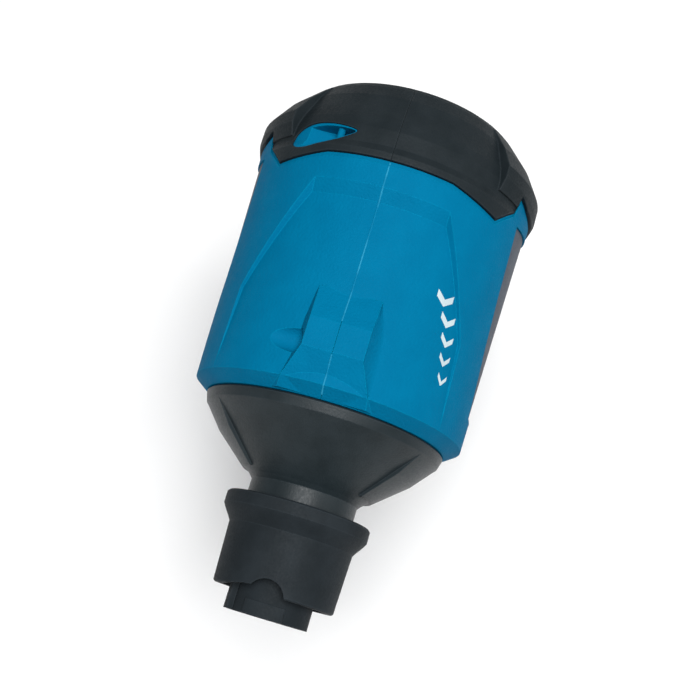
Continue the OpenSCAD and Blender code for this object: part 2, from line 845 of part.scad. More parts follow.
module impeller() {
    color("#c9ccd0")
    difference() {
        union() {
            turned([[impeller_x - 4, 0], [impeller_x - 4, 3], [impeller_x - 2.5, 7],
                    [impeller_x + 1, 10.5], [impeller_x + 8, 14.5],
                    [impeller_x + impeller_len, pod_r - 0.6], [impeller_x + impeller_len, 0]]);
            on_axis()
            for (i = [0 : blade_count - 1])
                rotate(i * 360 / blade_count)
                blade(9.5, duct_r - tip_gap, impeller_x + 1.5, impeller_x + impeller_len - 1.5,
                      64, 46, 0.35, blade_t);
        }
        tube(impeller_x - 2, impeller_x + impeller_len + 1, 0, shaft_r);
        turned([[impeller_x + 9, 0], [impeller_x + 9, 8], [impeller_x + impeller_len - 4, 15],
                [impeller_x + impeller_len + 1, 16.5], [impeller_x + impeller_len + 1, 0]]);
    }
    color("#c9ccd0")
    tube(impeller_x + 4, impeller_x + impeller_len - 0.4, shaft_r, 6);
}

module fan_case() {
    color("#3a3f44")
    union() {
        turned([[fan_rear_x, duct_r + 2.6], [fan_rear_x, duct_r + 3.4],
                [fan_rear_x + 0.8, case_r + 2.2], [fan_rear_x + 5.5, case_r],
                [case_end_x, case_r], [case_end_x, duct_r],
                [fan_rear_x + 6, duct_r], [fan_rear_x + 2.2, duct_r + 0.8]]);
        difference() {
            turned([[pod_x, 0], [pod_x, pod_r], [pod_end_x, pod_r], [pod_end_x, pod_r - 1.6],
                    [pod_x + 2, pod_r - 1.6], [pod_x + 2, bearing_r + 2.2],
                    [pod_x + 1.5 + bearing_w + 1, bearing_r + 2.2], [pod_x + 1.5 + bearing_w + 1, 0]]);
            tube(pod_x + 1.5, pod_x + 20, 0, bearing_r + 0.02);
            tube(pod_x - 1, pod_x + 2, 0, shaft_r + 1);
        }
        on_axis()
        for (i = [0 : vane_count - 1])
            rotate((i + 0.3) * 360 / vane_count)
            blade(pod_r - 0.8, duct_r + 0.8, vane_x, vane_x + vane_len, -26, -20, -0.7, blade_t);
    }
}

module mount_rings() {
    color("#202020")
    for (x = ring_places)
        difference() {
            tube(x - ring_w / 2, x + ring_w / 2, case_r + 0.05, case_r + ring_t + 1.6);
            tube(x - 1.55, x + 1.55, case_r + ring_t, case_r + ring_t + 3);
        }
}

module motor_shaft() {
    color("#d0d3d6")
    turned([[impeller_x - 1.5, 0], [impeller_x - 1.5, shaft_r - 0.4], [impeller_x - 1.1, shaft_r],
            [cap_x + 7, shaft_r], [cap_x + 7, 0]]);
}

module rotor_magnet() {
    color("#7c8084")
    tube(stator_x - 0.5, stator_x + stator_len + 0.5, shaft_r, 8.2);
}

module stator_core() {
    color("#8d9196")
    difference() {
        tube(stator_x, stator_x + stator_len, 8.7, pod_r - 1.65);
        for (i = [0 : 5])
            on_axis()
            rotate(i * 60 + 30)
            translate([0, 0, stator_x - 1])
            linear_extrude(stator_len + 2)
            polygon([[8, -1], [9.6, -1], [10.2, -2.9], [15.6, -6.4], [15.6, 6.4],
                     [10.2, 2.9], [9.6, 1], [8, 1]]);
    }
}

module motor_windings() {
    color("#b8702a")
    for (i = [0 : 5])
        on_axis()
        rotate(i * 60)
        translate([10.9, 0, stator_x - 3])
        difference() {
            translate([0, -4.2, 0]) cube([3.9, 8.4, stator_len + 6]);
            translate([-1, -2.75, 2.9]) cube([6, 5.5, stator_len + 0.2]);
        }
}

module bearings() {
    color("#dfe2e5")
    for (x = [pod_x + 1.55, cap_x + 2.05])
        difference() {
            tube(x, x + bearing_w - 0.1, shaft_r + shaft_fit, bearing_r);
            for (side = [-1, 1])
                tube(x + (side > 0 ? bearing_w - 0.5 : -1), x + (side > 0 ? bearing_w + 1 : 0.4),
                     shaft_r + 1.3, bearing_r - 1.1);
        }
}

module motor_cap() {
    color("#3a3f44")
    difference() {
        union() {
            tube(cap_x, cap_x + 2, 0, pod_r - 1.65);
            tube(cap_x, cap_x + bearing_w + 2, 0, bearing_r + 1.8);
        }
        tube(cap_x + 2, cap_x + 20, 0, bearing_r + 0.02);
        tube(cap_x - 1, cap_x + 3, 0, shaft_r + 1);
        for (i = [0 : 5])
            on_axis()
            rotate(i * 60 + 30)
            translate([13, 0, cap_x - 1])
            cylinder(r = 2.4, h = 5);
    }
}

module tail_cone() {
    color("#30353a")
    turned([[pod_end_x + 0.05, pod_r - 1.8], [pod_end_x + 0.05, pod_r], [pod_end_x + 8, pod_r - 2.6],
            [pod_end_x + 18, pod_r - 9.4], [pod_end_x + 25, pod_r - 17], [pod_end_x + 26, 0],
            [pod_end_x + 22, 0], [pod_end_x + 16, pod_r - 11.2], [pod_end_x + 7, pod_r - 4.6],
            [pod_end_x, pod_r - 3.7], [pod_end_x - 4, pod_r - 3.7], [pod_end_x - 4, pod_r - 1.7]]);
}

// ---------------------------------------------------------------- controls

trigger_z0 = axis_z - 84;
trigger_z1 = axis_z - 54;
trigger_front_x = grip_x + 34;
switch_z = axis_z - 92;
switch_front_x = grip_x + 3.8;
plunger_w = 8;
trigger_rear_x = switch_front_x + 0.8 + trigger_travel;
lock_x = grip_x - 3;
lock_z = axis_z - 61;

module trigger_way() {
    box(switch_front_x - 12, trigger_front_x + 20, -trigger_w / 2 - button_gap,
        trigger_w / 2 + button_gap, trigger_z0 - button_gap, trigger_z1 + button_gap);
}

module trigger() {
    nose_r = trigger_w / 2;
    color("#1d2023")
    difference() {
        translate([0, 0, trigger_z0])
        linear_extrude(trigger_z1 - trigger_z0)
        union() {
            translate([trigger_rear_x, -nose_r])
            square([trigger_front_x - nose_r - trigger_rear_x, trigger_w]);
            translate([trigger_front_x - nose_r, 0])
            circle(r = nose_r);
        }
        cross_bar(trigger_front_x + 12, (trigger_z0 + trigger_z1) / 2 - 1, 16.5, -30, 30);
        box(trigger_rear_x - 1, trigger_front_x - 4, 2 - nose_r, nose_r - 2, trigger_z0 + 12,
            trigger_z1 - 2);
    }
}

// Switch case with its plunger, which the trigger pushes in
module switch_body() {
    color("#d8d8d2")
    union() {
        box(switch_front_x - 24, switch_front_x, -8, 8, switch_z, switch_z + 24);
        box(switch_front_x, switch_front_x + 0.5, -plunger_w / 2, plunger_w / 2, trigger_z0 + 3,
            trigger_z0 + 9);
    }
}

module lock_button() {
    color("#a32b20")
    difference() {
        cross_bar(lock_x, lock_z, lock_r, -grip_half_w - 4.2, grip_half_w + 1.8);
        cross_bar(lock_x, lock_z, lock_r - 1.2, grip_half_w + 0.8, grip_half_w + 5);
        cross_bar(lock_x, lock_z, lock_r - 1.2, -grip_half_w - 8, -grip_half_w - 3.2);
        difference() {
            cross_bar(lock_x, lock_z, lock_r + 1, -4, 4);
            cross_bar(lock_x, lock_z, lock_r - 1.6, -5, 5);
        }
    }
}

panel_x1 = foot_front_x - 8.5;
panel_x0 = panel_x1 - 14;
mode_x = panel_x0 + 5.5;

module panel_seat() {
    box(panel_x0, panel_x1, -14, 14, foot_top_z - 1.2, foot_top_z + 1);
    translate([mode_x, 0, foot_top_z - 8])
    cylinder(r = 4.2 + button_gap, h = 10);
}

module control_panel() {
    color("#2b2f33")
    difference() {
        box(panel_x0 + 0.1, panel_x1 - 0.1, -13.9, 13.9, foot_top_z - 1.15, foot_top_z + 0.25);
        translate([mode_x, 0, foot_top_z - 8])
        cylinder(r = 4.2, h = 10);
        for (i = [0 : 3])
            translate([panel_x1 - 3.2, -9 + 6 * i, foot_top_z - 0.1])
            cylinder(r = 1.1, h = 2);
    }
}

module mode_button() {
    color("#70757a")
    translate([mode_x, 0, foot_top_z - 4])
    cylinder(r = 4.2 - 0.3, h = 5.2);
}

board_z = channel_z + wall + 1.6;
board_top_z = board_z + 1.6;

// Board on four pegs, with six power switches and two capacitors
module control_board() {
    color("#1f6b3a")
    union() {
        box(foot_back_x + 16, foot_front_x - 20, -25, 25, board_z, board_top_z);
        for (i = [0 : 5])
            let (x = foot_back_x + 22 + 8 * i)
            box(x, x + 5, -20, -12, board_top_z, board_top_z + 1.8);
        for (i = [0 : 1])
            translate([foot_back_x + 24 + 13 * i, 12, board_top_z])
            cylinder(r = 4, h = 4);
        for (x = [foot_back_x + 20, foot_front_x - 24], y = [-21, 21])
            translate([x, y, board_z - 1.6])
            cylinder(r = 1.6, h = 1.7);
    }
}

block_x0 = foot_back_x + 8;
block_x1 = block_x0 + 30;
blade_ys = [-12, 0, 12];

module terminal_seat() {
    box(block_x0, block_x1, -18, 18, channel_z - 1, channel_z + wall + 1);
}

module terminal_block() {
    color("#22262a")
    difference() {
        box(block_x0 + 0.1, block_x1 - 0.1, -17.9, 17.9, channel_z + 0.1, channel_z + wall);
        for (y = blade_ys)
            box(block_x0 + 4, block_x1 - 2, y - 0.45, y + 0.45, channel_z - 1, channel_z + wall + 1);
    }
}

module terminal_blades() {
    color("#d9b45a")
    for (y = blade_ys)
        box(block_x0 + 4.1, block_x1 - 2.1, y - 0.4, y + 0.4, battery_h + 5, channel_z + wall);
}

// ---------------------------------------------------------------- battery

case_split = 25;
head_x = foot_front_x + 0.4;
mast_x0 = foot_back_x + 5;
pack_screw_inset = 5.2;
pack_boss_r = 3.5;
pack_screws = [for (sx = [-1, 1], sy = [-1, 1])
    [sx * (battery_l / 2 - pack_screw_inset), sy * (battery_w / 2 - 7)]];
cell_pitch = cell_d + 0.5;
cell_rows = 2;
cell_columns = floor((battery_l - 2 * (pack_screw_inset + pack_boss_r) + 0.5) / cell_pitch);
gauge_y = 24;
gauge_z = 35;
release_travel = 4;

module battery_lower() {
    color("#26292d")
    difference() {
        union() {
            hull() {
                rounded_slab(battery_l - 3, battery_w - 3, 7.5, 0, tiny);
                rounded_slab(battery_l, battery_w, 9, 1.5, 1.5 + tiny);
            }
            rounded_slab(battery_l, battery_w, 9, 1.5, case_split);
        }
        rounded_slab(battery_l - 2 * battery_wall, battery_w - 2 * battery_wall, 7, battery_wall,
                     case_split + 1);
        for (p = pack_screws)
            translate([p[0], p[1], -1]) {
                cylinder(r = screw_r + screw_gap, h = 10);
                cylinder(r = screw_head_r + screw_gap, h = 3.6);
            }
    }
    color("#26292d")
    for (p = pack_screws)
        translate([p[0], p[1], 0])
        difference() {
            translate([0, 0, 0.2]) cylinder(r = pack_boss_r, h = case_split - 0.4);
            translate([0, 0, -1]) cylinder(r = screw_r + screw_gap, h = 40);
            translate([0, 0, -1]) cylinder(r = screw_head_r + screw_gap, h = 3.6);
        }
}

module battery_upper() {
    color("#1f2225")
    difference() {
        union() {
            rounded_slab(battery_l, battery_w, 9, case_split + 0.05, battery_h - 1.5);
            hull() {
                rounded_slab(battery_l, battery_w, 9, battery_h - 1.5 - tiny, battery_h - 1.5);
                rounded_slab(battery_l - 3, battery_w - 3, 7.5, battery_h - tiny, battery_h);
            }
            box(mast_x0, head_x, -mast_w / 2, mast_w / 2, battery_h - 1, mast_top_z);
            translate([head_x, 0, battery_h - 1])
            rotate([90, 0, 0])
            linear_extrude(mast_w + 4, center = true)
            polygon([[0, 0], [0, mast_h + 3], [5, mast_h + 3], [battery_l / 2 - head_x, mast_h - 3],
                     [battery_l / 2 - head_x, 0]]);
        }
        difference() {
            rounded_slab(battery_l - 2 * battery_wall, battery_w - 2 * battery_wall, 7, case_split - 1,
                         battery_h - battery_wall);
            for (p = pack_screws)
                translate([p[0], p[1], 0])
                cylinder(r = pack_boss_r, h = 60);
        }
        for (p = pack_screws)
            translate([p[0], p[1], 0])
            cylinder(r = screw_r + screw_gap, h = case_split + 9);
        box(mast_x0 + 4, head_x - 4, -18, 18, battery_h - 5, mast_top_z - 2.4);
        for (side = [-1, 1])
            translate([mast_x0 - 1, side > 0 ? mast_w / 2 - rail_depth : -mast_w / 2 - 1,
                       rail_z - rail_gap])
            cube([head_x - mast_x0 + 0.6, rail_depth + 1, rail_t + 2 * rail_gap]);
        for (y = blade_ys)
            box(mast_x0 - 1, block_x1 + 4, y - 1.2, y + 1.2, battery_h + 4, mast_top_z + 1);
        box(head_x + 6, battery_l / 2 + 1, -12.5, 12.5, battery_h + 1, mast_top_z + 6);
        box(head_x + 1, head_x + 7, -7, 7, mast_top_z - 2.2 - release_travel, mast_top_z + 6);
        translate([battery_l / 2 - 6, gauge_y, gauge_z])
        rotate([0, 90, 0])
        cylinder(r = 3.3 + button_gap, h = 10);
    }
}

// A round bar through every cell's place, from y0 to y1
module cell_places(r, y0, y1) {
    for (i = [0 : cell_columns - 1], j = [0 : cell_rows - 1])
        cross_bar((i - (cell_columns - 1) / 2) * cell_pitch,
                  battery_wall + 0.4 + cell_d / 2 + j * cell_pitch, r, y0, y1);
}

module battery_cells() {
    color("#2f7d5b")
    cell_places(cell_d / 2, -cell_l / 2, cell_l / 2);
}

module cell_frames() {
    frame_h = cell_rows * cell_pitch + 0.4;
    color("#e6e6df")
    for (side = [-1, 1])
        difference() {
            translate([0, side * 24, battery_wall + 0.1 + frame_h / 2])
            cube([cell_columns * cell_pitch + 1.1, 6, frame_h], center = true);
            cell_places(cell_d / 2 + 0.05, -60, 60);
        }
}

module battery_board() {
    color("#1f6b3a")
    box(18 - battery_l / 2, battery_l / 2 - 26, -17, 17, battery_h - 4.6, battery_h - 3);
}

module battery_contacts() {
    color("#d9b45a")
    for (y = blade_ys, side = [-1, 1])
        box(block_x0 + 6, block_x1 + 2, y + side * 1 - 0.25, y + side * 1 + 0.25, battery_h - 3,
            mast_top_z - 3);
}

module release_button() {
    color("#3b4046")
    difference() {
        union() {
            box(head_x + 6.4, battery_l / 2 - 0.6, -12.1, 12.1, battery_h + 2 + release_travel,
                mast_top_z + 0.6);
            box(head_x + 1.4, head_x + 7, -6.6, 6.6, mast_top_z - 1.8, mast_top_z + 0.6);
        }
        for (i = [0 : 2])
            cross_bar(battery_l / 2, mast_top_z - 6 + 2.4 * i, 0.6, -9, 9);
    }
}

module gauge_button() {
    color("#70757a")
    translate([battery_l / 2 - 5, gauge_y, gauge_z])
    rotate([0, 90, 0])
    cylinder(r = 3.3, h = 6);
}

// ---------------------------------------------------------------- screws

module housing_screws() {
    color("#c3c7cb")
    for (p = house_screws)
        difference() {
            union() {
                cross_bar(p[0], p[1], screw_head_r, screw_head_y - 2.4, screw_head_y - 0.02);
                cross_bar(p[0], p[1], screw_r, screw_head_y - 0.1, screw_tip_y);
            }
            cross_bar(p[0], p[1], 1.2, screw_head_y - 3, screw_head_y - 1);
        }
}

module battery_screws() {
    color("#c3c7cb")
    for (p = pack_screws)
        translate([p[0], p[1], 0])
        difference() {
            union() {
                translate([0, 0, 0.4]) cylinder(r = screw_head_r, h = 2.18);
                translate([0, 0, 2]) cylinder(r = screw_r, h = case_split + 5);
            }
            cylinder(r = 1.2, h = 1.6);
        }
}

housing(1);  // housing_left
housing(-1);  // housing_right
bumper(1);  // bumper_left
bumper(-1);  // bumper_right
side_panel(1);  // side_panel_left
side_panel(-1);  // side_panel_right
grip_pad(1);  // grip_pad_left
grip_pad(-1);  // grip_pad_right
front_cone();
outlet_tube();
nozzle_sleeve();
sleeve_ring();
intake_grille();
fan_case();
mount_rings();
impeller();
motor_shaft();
rotor_magnet();
stator_core();
motor_windings();
bearings();
motor_cap();
tail_cone();
trigger();
switch_body();
lock_button();
control_panel();
mode_button();
control_board();
terminal_block();
terminal_blades();
battery_lower();
battery_upper();
battery_cells();
cell_frames();
battery_board();
battery_contacts();
release_button();
gauge_button();
housing_screws();
battery_screws();
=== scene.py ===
# %% [markdown]
# # A compact cordless blower
#
# The blower is a blue round barrel with a rubber bumper at its intake end, a black cone and a
# nozzle coupling in front, a pistol grip below and a battery that slides under the foot. The
# solids come ready made from a CAD model, each one in its true place. This lesson gives them
# their finishes, adds the small trim that is too fine for CAD, and lights the result. One way
# would be to model everything again in Blender, but then the sizes could drift, so the CAD
# solids stay and only trim is added. All lengths are metres, +X points along the outlet, +Z up.

# %% Load the blower
import json
import math

import bmesh
import bpy
from mathutils import Matrix, Vector
from mathutils.bvhtree import BVHTree


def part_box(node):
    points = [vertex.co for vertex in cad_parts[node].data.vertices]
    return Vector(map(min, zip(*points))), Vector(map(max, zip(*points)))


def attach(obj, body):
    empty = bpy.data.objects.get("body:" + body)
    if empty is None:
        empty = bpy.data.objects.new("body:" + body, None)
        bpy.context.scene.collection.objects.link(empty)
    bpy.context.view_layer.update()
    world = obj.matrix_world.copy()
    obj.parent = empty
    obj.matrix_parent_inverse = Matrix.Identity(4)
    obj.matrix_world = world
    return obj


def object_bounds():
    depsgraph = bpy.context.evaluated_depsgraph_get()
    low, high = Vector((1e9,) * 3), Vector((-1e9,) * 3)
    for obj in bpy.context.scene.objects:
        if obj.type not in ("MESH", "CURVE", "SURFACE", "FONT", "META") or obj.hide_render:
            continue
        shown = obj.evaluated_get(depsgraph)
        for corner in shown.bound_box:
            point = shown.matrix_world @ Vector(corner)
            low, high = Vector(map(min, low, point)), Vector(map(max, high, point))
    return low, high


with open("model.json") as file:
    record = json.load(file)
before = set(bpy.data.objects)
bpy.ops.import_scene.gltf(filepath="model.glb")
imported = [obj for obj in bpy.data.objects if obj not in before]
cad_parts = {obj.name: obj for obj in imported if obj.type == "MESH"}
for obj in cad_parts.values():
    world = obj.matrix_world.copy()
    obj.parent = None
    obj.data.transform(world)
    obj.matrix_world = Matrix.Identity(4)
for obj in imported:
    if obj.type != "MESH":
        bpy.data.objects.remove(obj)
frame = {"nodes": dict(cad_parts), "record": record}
cad_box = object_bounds()
MM = 0.001
AXIS_Z = 0.220

# %% [markdown]
# ## Where the camera stands
#
# The blower is seen from almost straight above, a little in front of its outlet, so the grip
# and the battery hide under the barrel. The camera could be aimed with a Track To constraint,
# but a matrix built from three directions also sets the roll: the barrel's rear end leans
# almost seventeen degrees to the right of upright, as the viewer sees it.

# %% Camera
CAMERA_PLACE = Vector((0.15306, 0.0325, 0.60306))
CAMERA_TARGET = Vector((0.05435, 0.00081, AXIS_Z))
CAMERA_LEAN = math.radians(16.74)
LENS_MM = 58.52

sight = (CAMERA_TARGET - CAMERA_PLACE).normalized()
to_rear = Vector((-1, 0, 0))
to_rear = (to_rear - sight * to_rear.dot(sight)).normalized()
to_left_side = sight.cross(to_rear)
upright = to_rear * math.cos(CAMERA_LEAN) - to_left_side * math.sin(CAMERA_LEAN)
turn = Matrix((sight.cross(upright), upright, -sight)).transposed()

camera = bpy.data.objects.new("camera", bpy.data.cameras.new("camera"))
bpy.context.collection.objects.link(camera)
camera.data.lens = LENS_MM
camera.matrix_world = Matrix.Translation(CAMERA_PLACE) @ turn.to_4x4()
bpy.context.scene.camera = camera
print("camera tilt in degrees:", round(math.degrees(math.acos(-sight.z)), 1))

# %% [markdown]
# ## Floor and studio light
#
# The blower stands on a plain pale floor under soft light. A sun lamp would give hard-edged
# shadows, so large area lamps are used. The main one hangs high above the camera, so surfaces
# that face the viewer are the brightest and every slope of the shell turns a shade darker. Two
# weak ones keep the bumper's far side and the black cone from sinking into one tone.

# %% Floor and lamps
FLOOR_HALF = 3.0
LAMP_AIM = Vector((0.03, 0.0, 0.16))


def matte_floor():
    """A pale floor big enough to fill every view."""
    mesh = bpy.data.meshes.new("floor")
    corners = [(x * FLOOR_HALF, y * FLOOR_HALF, 0) for x, y in ((-1, -1), (1, -1), (1, 1), (-1, 1))]
    mesh.from_pydata(corners, [], [(0, 1, 2, 3)])
    floor = bpy.data.objects.new("floor", mesh)
    bpy.context.collection.objects.link(floor)
    paint = bpy.data.materials.new("floor_paint")
    paint.use_nodes = True
    shader = paint.node_tree.nodes["Principled BSDF"]
    shader.inputs["Base Color"].default_value = (0.96, 0.96, 0.96, 1)
    shader.inputs["Roughness"].default_value = 0.8
    shader.inputs["Specular IOR Level"].default_value = 0.1
    mesh.materials.append(paint)


def soft_lamp(name, place, size, watts):
    """A square area lamp that faces the barrel."""
    lamp = bpy.data.lights.new(name, "AREA")
    lamp.size = size
    lamp.energy = watts
    holder = bpy.data.objects.new(name, lamp)
    bpy.context.collection.objects.link(holder)
    holder.location = place
    aim = LAMP_AIM - Vector(place)
    holder.rotation_euler = aim.to_track_quat("-Z", "Y").to_euler()


matte_floor()
soft_lamp("main_lamp", (0.10, 0.14, 1.45), 0.6, 20)
soft_lamp("left_side_fill", (-0.3, 1.2, 0.9), 0.8, 3)
soft_lamp("front_fill", (1.1, -0.5, 0.6), 0.9, 1.2)

sky = bpy.data.worlds.new("studio")
sky.use_nodes = True
sky.node_tree.nodes["Background"].inputs["Color"].default_value = (1, 1, 1, 1)
sky.node_tree.nodes["Background"].inputs["Strength"].default_value = 0.26
bpy.context.scene.world = sky
bpy.context.scene.view_settings.view_transform = "Standard"

# %% [markdown]
# ## How the finishes are made
#
# A moulded part is never one flat colour. Its pigment is slightly mottled, its gloss is uneven,
# its skin carries the fine grain of the mould, and its edges are rubbed smooth. The edges are also
# coloured lighter: a painted highlight where a rounded edge catches light, with some rubbed wear.
# Painted image textures could show that, but they need unwrapping and blur close up. The finishes
# here are made from noise in the part's own space instead, so they have the right size in
# millimetres on every part. The helpers below each add one of those effects to a material.

# %% Helpers that build a finish
# Noise seldom leaves these spans, so each one is stretched over a whole blend
COLOUR_SPAN = (0.35, 0.65)
VALUE_SPAN = (0.3, 0.7)
# How alike the rounded and the flat directions are on an open face and on a sharp edge
FACE_LIKENESS = 0.998
EDGE_LIKENESS = 0.93
# Largest share of the lighter edge colour on a sharp edge: a painted highlight with some rubbed
# wear
EDGE_HIGHLIGHT_WEAR_SHARE = 0.6
MOTTLE_MM = 9.0


def start_finish(name, **shader_values):
    """A new material with constants set on its shader. Returns material, nodes, links, shader."""
    finish = bpy.data.materials.new(name)
    finish.use_nodes = True
    nodes, links = finish.node_tree.nodes, finish.node_tree.links
    shader = nodes["Principled BSDF"]
    for socket, value in shader_values.items():
        shader.inputs[socket.replace("_", " ")].default_value = value
    return finish, nodes, links, shader


def noise(nodes, links, size_mm, detail=2.0, stretch=None):
    """Noise in the part's own space, with features of about size_mm."""
    place = nodes.new("ShaderNodeTexCoord")
    texture = nodes.new("ShaderNodeTexNoise")
    texture.inputs["Scale"].default_value = 1.0 / (size_mm * MM)
    texture.inputs["Detail"].default_value = detail
    source = place.outputs["Object"]
    if stretch:
        mapping = nodes.new("ShaderNodeMapping")
        mapping.inputs["Scale"].default_value = stretch
        links.new(source, mapping.inputs["Vector"])
        source = mapping.outputs["Vector"]
    links.new(source, texture.inputs["Vector"])
    return texture.outputs["Fac"]


def blend_colours(nodes, links, factor, low, high):
    """Turns a factor into a colour between low and high."""
    ramp = nodes.new("ShaderNodeValToRGB")
    for element, place, colour in zip(ramp.color_ramp.elements, COLOUR_SPAN, (low, high)):
        element.position = place
        element.color = (*colour, 1)
    links.new(factor, ramp.inputs["Fac"])
    return ramp.outputs["Color"]


def blend_values(nodes, links, factor, low, high):
    """Turns a factor into a number between low and high."""
    span = nodes.new("ShaderNodeMapRange")
    span.inputs["From Min"].default_value = VALUE_SPAN[0]
    span.inputs["From Max"].default_value = VALUE_SPAN[1]
    span.inputs["To Min"].default_value = low
    span.inputs["To Max"].default_value = high
    links.new(factor, span.inputs["Value"])
    return span.outputs["Result"]


def soft_edges(nodes, width_mm):
    """The surface's direction, rounded over sharp edges."""
    bevel = nodes.new("ShaderNodeBevel")
    bevel.samples = 4
    bevel.inputs["Radius"].default_value = width_mm * MM
    return bevel.outputs["Normal"]


def edge_highlight_and_wear(nodes, links, base, edge_highlight_colour, width_mm):
    """Mixes a lighter colour over base at sharp corners: a painted highlight with some rubbed wear.
    """
    rounded = soft_edges(nodes, width_mm)
    flat = nodes.new("ShaderNodeNewGeometry")
    likeness = nodes.new("ShaderNodeVectorMath")
    likeness.operation = "DOT_PRODUCT"
    links.new(rounded, likeness.inputs[0])
    links.new(flat.outputs["Normal"], likeness.inputs[1])
    span = nodes.new("ShaderNodeMapRange")
    span.inputs["From Min"].default_value = FACE_LIKENESS
    span.inputs["From Max"].default_value = EDGE_LIKENESS
    span.inputs["To Max"].default_value = EDGE_HIGHLIGHT_WEAR_SHARE
    links.new(likeness.outputs["Value"], span.inputs["Value"])
    mix = nodes.new("ShaderNodeMix")
    mix.data_type = "RGBA"
    links.new(span.outputs["Result"], mix.inputs["Factor"])
    links.new(base, mix.inputs["A"])
    mix.inputs["B"].default_value = (*edge_highlight_colour, 1)
    return mix.outputs["Result"]


def raise_grain(nodes, links, shader, height, depth_mm, edge_mm):
    """Bumps the surface by height, on top of edges rounded by edge_mm."""
    bump = nodes.new("ShaderNodeBump")
    bump.inputs["Distance"].default_value = depth_mm * MM
    links.new(height, bump.inputs["Height"])
    links.new(soft_edges(nodes, edge_mm), bump.inputs["Normal"])
    links.new(bump.outputs["Normal"], shader.inputs["Normal"])


def moulded(name, dark, light, edge, gloss, grain_mm, depth_mm, edge_mm=0.4, **shader_values):
    """Moulded plastic or rubber: mottled pigment, uneven gloss, mould grain and an edge colour of
    painted highlight and wear.
    """
    finish, nodes, links, shader = start_finish(name, **shader_values)
    patches = noise(nodes, links, MOTTLE_MM, detail=4.0)
    pigment = blend_colours(nodes, links, patches, dark, light)
    # The edge colour goes on sharp edges: a painted highlight with some rubbed wear
    links.new(edge_highlight_and_wear(nodes, links, pigment, edge, edge_mm), shader.inputs["Base Color"])
    grain = noise(nodes, links, grain_mm, detail=3.0)
    links.new(blend_values(nodes, links, grain, *gloss), shader.inputs["Roughness"])
    raise_grain(nodes, links, shader, grain, depth_mm, edge_mm)
    return finish


print("finish helpers ready")

# %% [markdown]
# ## Finishes of the body
#
# The shell is blue plastic with a fine even grain and almost no gloss. The cone is black
# glass-filled plastic, a little shinier. The coupling and its tube are gripped and turned, so
# their mould is blasted rougher and they are a duller black. The bumper and the grip pads are
# soft rubber. Each could be a material of its own, but one shared recipe with different numbers
# keeps them related, as they are on the real tool.

# %% Blue shell, rubber, black plastic and side panels
# Each finish's third colour is its edge colour, a painted highlight with some rubbed wear
finishes = {}
finishes["blue_shell"] = moulded(
    "blue_shell", (0.0, 0.126, 0.252), (0.0, 0.136, 0.268), (0.0, 0.225, 0.39),
    (0.50, 0.66), 0.8, 0.22, edge_mm=0.45, Specular_IOR_Level=0.015)
finishes["rubber"] = moulded(
    "rubber", (0.0078, 0.0125, 0.0152), (0.0118, 0.0172, 0.0205), (0.028, 0.037, 0.043),
    (0.52, 0.70), 0.8, 0.10, edge_mm=0.7, Specular_IOR_Level=0.15)
finishes["black_plastic"] = moulded(
    "black_plastic", (0.0105, 0.0165, 0.0195), (0.0160, 0.0235, 0.0275), (0.032, 0.043, 0.050),
    (0.40, 0.54), 0.7, 0.06, edge_mm=0.5, Specular_IOR_Level=0.26)
finishes["matte_black"] = moulded(
    "matte_black", (0.0105, 0.0145, 0.0175), (0.0150, 0.0200, 0.0240), (0.030, 0.039, 0.046),
    (0.60, 0.76), 0.7, 0.07, edge_mm=0.6, Specular_IOR_Level=0.12)
finishes["panel_grey"] = moulded(
    "panel_grey", (0.052, 0.062, 0.082), (0.068, 0.080, 0.104), (0.10, 0.12, 0.15),
    (0.55, 0.7), 0.7, 0.08, Specular_IOR_Level=0.2)
finishes["battery_plastic"] = moulded(
    "battery_plastic", (0.013, 0.0145, 0.016), (0.019, 0.021, 0.023), (0.035, 0.038, 0.041),
    (0.48, 0.62), 0.4, 0.04)
finishes["fan_plastic"] = moulded(
    "fan_plastic", (0.030, 0.034, 0.038), (0.042, 0.047, 0.052), (0.06, 0.065, 0.07),
    (0.40, 0.52), 0.4, 0.02)
finishes["button_grey"] = moulded(
    "button_grey", (0.13, 0.14, 0.15), (0.17, 0.18, 0.19), (0.24, 0.25, 0.26),
    (0.42, 0.55), 0.35, 0.02)
finishes["switch_plastic"] = moulded(
    "switch_plastic", (0.66, 0.66, 0.60), (0.76, 0.76, 0.71), (0.82, 0.82, 0.78),
    (0.38, 0.5), 0.5, 0.01)
finishes["white_plastic"] = moulded(
    "white_plastic", (0.70, 0.70, 0.66), (0.78, 0.78, 0.74), (0.84, 0.84, 0.80),
    (0.45, 0.6), 0.5, 0.015)
finishes["red_plastic"] = moulded(
    "red_plastic", (0.34, 0.018, 0.010), (0.44, 0.026, 0.014), (0.55, 0.06, 0.04),
    (0.28, 0.38), 0.4, 0.01)
finishes["panel_black"] = moulded(
    "panel_black", (0.011, 0.012, 0.014), (0.016, 0.018, 0.020), (0.03, 0.032, 0.035),
    (0.18, 0.28), 0.25, 0.004, Coat_Weight=0.25)
finishes["cell_wrap"] = moulded(
    "cell_wrap", (0.012, 0.20, 0.105), (0.022, 0.27, 0.145), (0.05, 0.34, 0.20),
    (0.16, 0.26), 2.5, 0.02, Coat_Weight=0.3)
print("moulded finishes:", len(finishes))

# %% [markdown]
# ## Finishes of the inside
#
# The metal parts are turned, ground, punched or wound, so their marks run one way. Stretching
# the noise along or round the barrel turns its spots into such marks. Anisotropic shading would
# also do it, but it needs tangents that the solids don't have.

# %% Metals, copper and circuit boards


